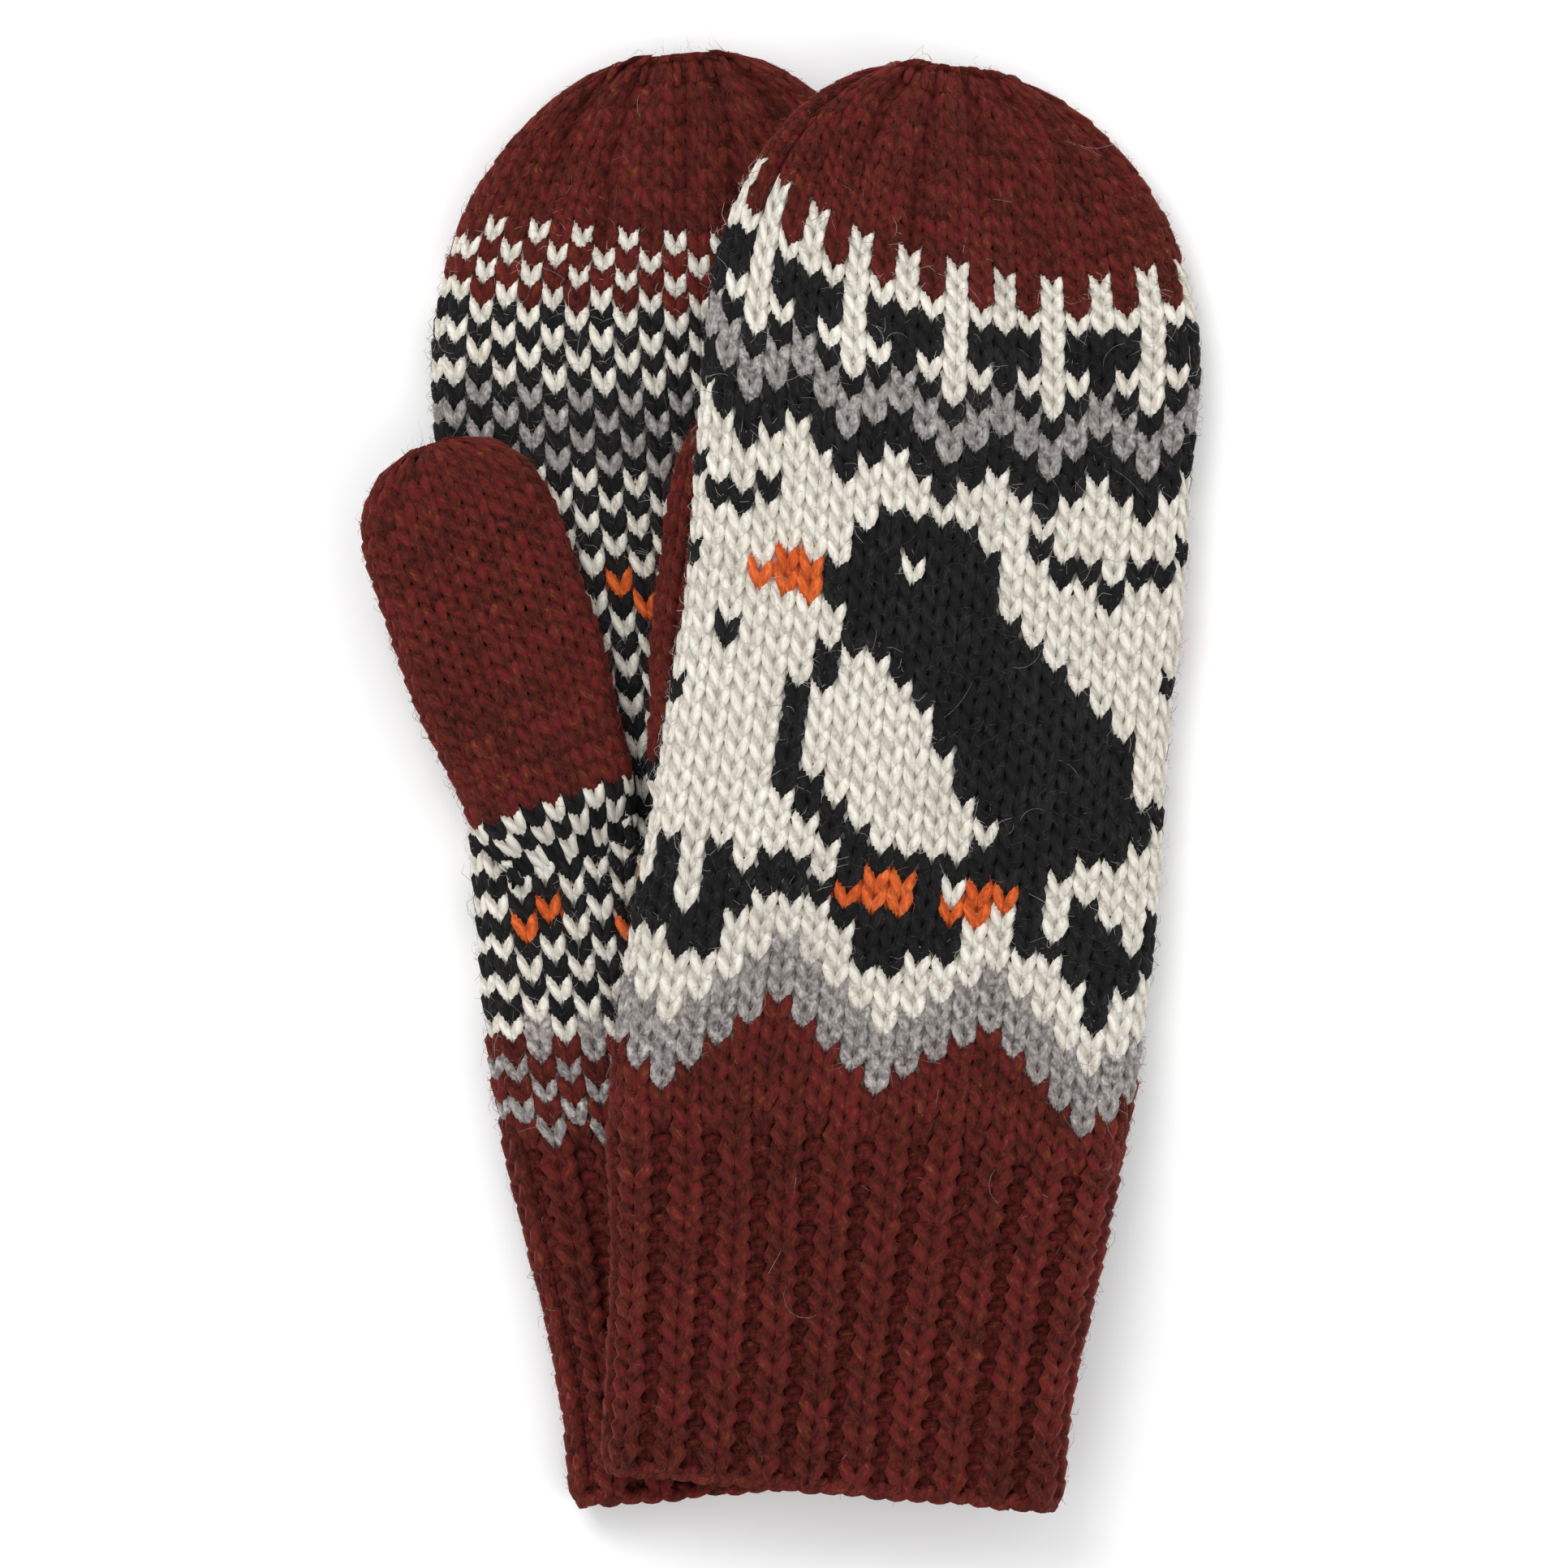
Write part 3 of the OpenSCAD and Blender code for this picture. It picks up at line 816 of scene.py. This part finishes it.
def make_mitten(side):
    """Every piece of one mitten."""
    place = lambda col, s, out, around: on_hand(col, s, out, side, around)
    hand, yarns, zones, counts = knit_hand()
    here = ~under_collar(hand, side)
    hand, yarns, zones = some(hand, here), yarns[here], zones[here]

    # the rib, the patterned hand in one piece for each yarn, and the crown
    for zone, part, nodes in (("rib", "cuff", ("ribbed_cuff",)),
                              ("hand", "hand", ("lower_hand", "upper_hand")),
                              ("crown", "crown", ("crown",))):
        for yarn in WOOL:
            keep = (zones == zone) & (yarns == yarn)
            if not keep.any():
                continue
            st = some(hand, keep)
            rings = stitch_rings(st, place, FULLER.get(yarn, 1.0))
            piece = lay_yarn(f"{side}_{zone}_{yarn}", LOOP_FORM, rings, st["tone"], LOOP_LONG, WOOL[yarn])
            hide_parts(*[f"{side}_{node}" for node in nodes])
            hang(piece, side, part)

    # the bloom of loose fibres
    for name, yarn, count, longest in FUZZ:
        keep = (yarns == yarn) & ((zones == "rib") == (name == "rib"))
        rings, long = fibre_rings(some(hand, keep), place, count, longest)
        wool = BLOOM.get(yarn, WOOL[yarn])
        piece = lay_yarn(f"{side}_fuzz_{name}", FIBRE_FORM, rings, draw.random(count), long, wool)
        hang(piece, side, "hand")
    rings, long = fibre_rings(hand, place, STRAYS, 11.0, 1.1, STRAY_FORM, 0.75)
    piece = lay_yarn(f"{side}_stray_fibres", STRAY_FORM, rings, draw.random(STRAYS), long, WOOL["white"])
    hang(piece, side, "hand")

    # the cast-on edge: a row of flat loops hanging on the outer face of the rim, and one on its inner face
    count = 2 * ROUND
    u = np.linspace(-1, 1, STRAND_FORM["steps"])[None]
    inner = (np.arange(count) % 2)[:, None]
    col = (np.arange(count) - ROUND)[:, None] / 2 + draw.normal(0, 0.05, (count, 1)) + 0.8 * u
    rim = 1.0 + 0.5 * inner + draw.normal(0, 0.15, (count, 1)) + (1.5 + 0.5 * draw.random((count, 1))) * u ** 2
    depth = -1.25 - 1.7 * inner - 0.5 * u ** 2 + 0.25 * u
    unit = float(girth(hand_half(0.0), THICK / 2)) / ROUND
    ends = np.stack([col * unit, rim + 0 * col, depth + 0 * col], axis=-1)
    ends += draw.normal(0, 0.05, ends.shape)
    edge = strands(side + "_cast_on_loops", ends,
                   lambda p: on_hand(p[..., 0] / unit, p[..., 1], p[..., 2], side, ROUND), "rust", up=(0, 0, 1),
                   radius=1.25)
    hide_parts(side + "_cast_on_edge")
    hang(edge, side, "cuff")

    # the reverse of the knitting
    top = MITTEN_LONG - 1.2

    def reverse_place(x, y):
        s = 2.2 + y * (top - 2.2)
        reverse_yarn_shades = np.ones((len(x), 4))
        for i in range(len(x)):
            r = int(np.clip((s[i] - FIRST_ROW_AT) / ROW, 0, ROWS - 1))
            # the colour of this row and column's yarn, partly darkened as painted shade
            reverse_yarn_shades[i, :3] = REVERSE_YARN_SHADE[yarn_at(r, int(np.rint(x[i] * counts[r])), counts[r])]
        ribs = np.cos(math.pi * x * counts[0])
        return on_hand(x, s, -1.15 - ribbing_at(s) * (1.25 + 1.55 * ribs), side, 1), reverse_yarn_shades

    back = shell(side + "_knit_reverse", reverse_place, ROWS + 2, 2 * counts[0], 0.8)
    hang(back, side, "hand")

    # strands carried behind the pattern, row by row
    for zone, first, last in (("lower", 18, 43), ("upper", 43, 58)):
        cols = np.arange(-23, 23, 2.0)
        rows = np.arange(first, last)
        col, row = np.meshgrid(cols, rows, indexing="ij")
        u = np.linspace(0, 1, FLOAT_FORM["steps"])
        line_col = col.reshape(-1, 1) + 2.1 * u[None]
        s = (FIRST_ROW_AT + (row.reshape(-1, 1) + 0.5) * ROW) + 0.5 * np.sin(math.pi * u[None]) - 0.4
        depth = -3.3 - 0.35 * np.sin(math.pi * u[None]) + 0 * line_col
        ends = np.stack([line_col * FLOAT_UNIT, s, depth], axis=-1)
        yarn = "grey" if zone == "lower" else "black"
        piece = strands(f"{side}_{zone}_float_strands", ends,
                        lambda p: on_hand(p[..., 0] / FLOAT_UNIT, p[..., 1], p[..., 2], side, ROUND), yarn,
                        up=(0, 0, 1), radius=0.42, form=FLOAT_FORM)
        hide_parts(f"{side}_{zone}_floats")
        hang(piece, side, "hand")

    # the yarn drawn through the last stitches of the crown
    draw_up(side, "crown", 9, MITTEN_LONG, 5.0)

    # the thumb, and its picked-up stitches round the slit
    thumb_place = lambda col, v, out, around: on_thumb(col, v, out, side, around)
    thumb, below = knit_thumb()
    tube_only = some(thumb, ~below)
    rings = stitch_rings(tube_only, thumb_place, FULLER["rust"])
    piece = lay_yarn(side + "_thumb_knit", LOOP_FORM, rings, tube_only["tone"], LOOP_LONG, WOOL["rust"])
    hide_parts(side + "_thumb")
    hang(piece, side, "thumb")
    collar = some(thumb, below)
    checked = (np.rint(collar["col"]) + np.floor((collar["s"] - THUMB_FIRST_AT) / ROW)) % 2 == 0
    for yarn, keep in (("white", checked), ("black", ~checked)):
        st = some(collar, keep)
        rings = stitch_rings(st, thumb_place)
        piece = lay_yarn(f"{side}_thumb_collar_{yarn}", LOOP_FORM, rings, st["tone"], LOOP_LONG, WOOL[yarn])
        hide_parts(side + "_thumb_collar")
        hang(piece, side, "thumb")
    rings, long = fibre_rings(tube_only, thumb_place, THUMB_FUZZ, 5.0)
    piece = lay_yarn(f"{side}_thumb_fuzz", FIBRE_FORM, rings, draw.random(THUMB_FUZZ), long, BLOOM["rust"])
    hang(piece, side, "thumb")

    def thumb_reverse(x, y):
        v = -3.5 + y * (THUMB_LONG + 2.5)
        reverse_yarn_shades = np.ones((len(x), 4))
        reverse_yarn_shades[:, :3] = REVERSE_YARN_SHADE["rust"]
        return on_thumb(x * THUMB_ROUND, v, -2.1 + 0 * v, side, THUMB_ROUND), reverse_yarn_shades

    inner = shell(side + "_thumb_reverse", thumb_reverse, 26, 3 * THUMB_ROUND, 0.35)
    hang(inner, side, "thumb")
    draw_up(side, "thumb", 7, THUMB_LONG, 4.0)

    # the woven-in ends
    for tail in ("cuff_tail", "crown_tail", "thumb_tail"):
        low, high = (np.array(corner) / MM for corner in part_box(f"{side}_{tail}"))
        u = np.linspace(0, 1, STRAND_FORM["steps"])[None, :, None]
        axis = int(np.argmax(high - low))
        start, end = (low + high) / 2, (low + high) / 2
        start[axis], end[axis] = low[axis] + 0.7, high[axis] - 0.7
        ends = start + (end - start) * u
        piece = strands(f"{side}_{tail}_yarn", ends, lambda p: p * MM, "rust",
                        up=(0, 0, 1), radius=0.68, long_mm=float(high[axis] - low[axis]))
        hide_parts(f"{side}_{tail}")
        hang(piece, side, tail.removesuffix("_tail"))


def draw_up(side, part, count, tip, reach):
    """Yarn laced over the tip from face to face, pulling the last stitches together."""
    half = float((hand_half if part == "crown" else thumb_half)(np.array(tip - 0.6)))
    thick = hand_thick if part == "crown" else lambda v: THUMB_THICK * closing(v, THUMB_LONG, 9)
    u = np.linspace(-1, 1, STRAND_FORM["steps"])[None]
    spot = np.linspace(-0.8, 0.8, count)[:, None] * half
    x = spot * (1 + 0.25 * np.abs(u)) + 0.5 * u
    s = tip - 0.95 - reach * (1 - np.cos(u * math.pi / 2)) * (0.5 + 0.5 * (1 - np.abs(spot) / half))
    s = s + draw.normal(0, 0.1, (count, 1))
    z = np.sin(u * math.pi / 2) * (thick(np.clip(s, 0, tip)) / 2 - 0.75)
    ends = np.stack([x, s + 0 * x, z + 0 * x], axis=-1)

    def over_tip(p):
        if part == "crown":
            u_at = p[..., 0] + (bow(p[..., 1]) if side == "right" else -bow(p[..., 1]))
            return lay(u_at, p[..., 1], p[..., 2] + THICK / 2 + lie(u_at, p[..., 1], side), side)
        c, d = math.cos(THUMB_TURN[side]), math.sin(THUMB_TURN[side])
        return lay(THUMB_U[side] + p[..., 0] * c - p[..., 1] * d, THUMB_AT + p[..., 0] * d + p[..., 1] * c,
                   p[..., 2] + THICK + LAYER_GAP + THUMB_THICK / 2, side)

    piece = strands(f"{side}_{part}_lacing", ends, over_tip, "rust", radius=0.75)
    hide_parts(f"{side}_{part}_closure")
    hang(piece, side, part)


for side in ("left", "right"):
    make_mitten(side)

# ---------------------------------------------------------------- floor, light and camera
bpy.ops.object.select_all(action="DESELECT")
bpy.ops.mesh.primitive_plane_add(size=6, location=(0, 0, -0.0002))
floor = bpy.context.object
floor.name = "pale_floor"
paper, nodes, links, shader = bare_material("pale_paper")
grain = nodes.new("ShaderNodeTexNoise")
put(grain, Scale=300)
spread = nodes.new("ShaderNodeValToRGB")
spread.color_ramp.elements[0].color = (0.90, 0.90, 0.90, 1)
spread.color_ramp.elements[1].color = (0.93, 0.93, 0.93, 1)
links.new(grain.outputs["Fac"], spread.inputs[0])
links.new(spread.outputs[0], shader.inputs["Base Color"])
put(shader, Roughness=0.9, Specular_IOR_Level=0.0)
floor.data.materials.append(paper)

world = bpy.data.worlds.new("studio")
bpy.context.scene.world = world
world.use_nodes = True
world.node_tree.nodes["Background"].inputs[0].default_value = (1.0, 1.0, 1.0, 1)
world.node_tree.nodes["Background"].inputs[1].default_value = 0.85


def softbox(name, at, size, power):
    """A square light that faces the middle of the pair."""
    light = bpy.data.lights.new(name, "AREA")
    light.shape = "SQUARE"
    light.size = size
    light.energy = power
    lamp = bpy.data.objects.new(name, light)
    lamp.location = at
    away = np.array(at) / np.linalg.norm(at)
    lamp.rotation_euler = (math.acos(away[2]), 0, math.atan2(away[0], -away[1]))
    bpy.context.scene.collection.objects.link(lamp)


softbox("key_softbox", (-0.6, 0.9, 1.25), 0.9, 14)
softbox("fill_softbox", (0.95, -0.6, 1.2), 1.1, 5)

lens = bpy.data.cameras.new("overhead")
camera = bpy.data.objects.new("overhead", lens)
lens.sensor_width = 36
lens.lens = 185.8
camera.location = (0.00035, -0.00095, 1.515)
bpy.context.scene.collection.objects.link(camera)
bpy.context.scene.camera = camera
bpy.context.scene.view_settings.view_transform = "Standard"
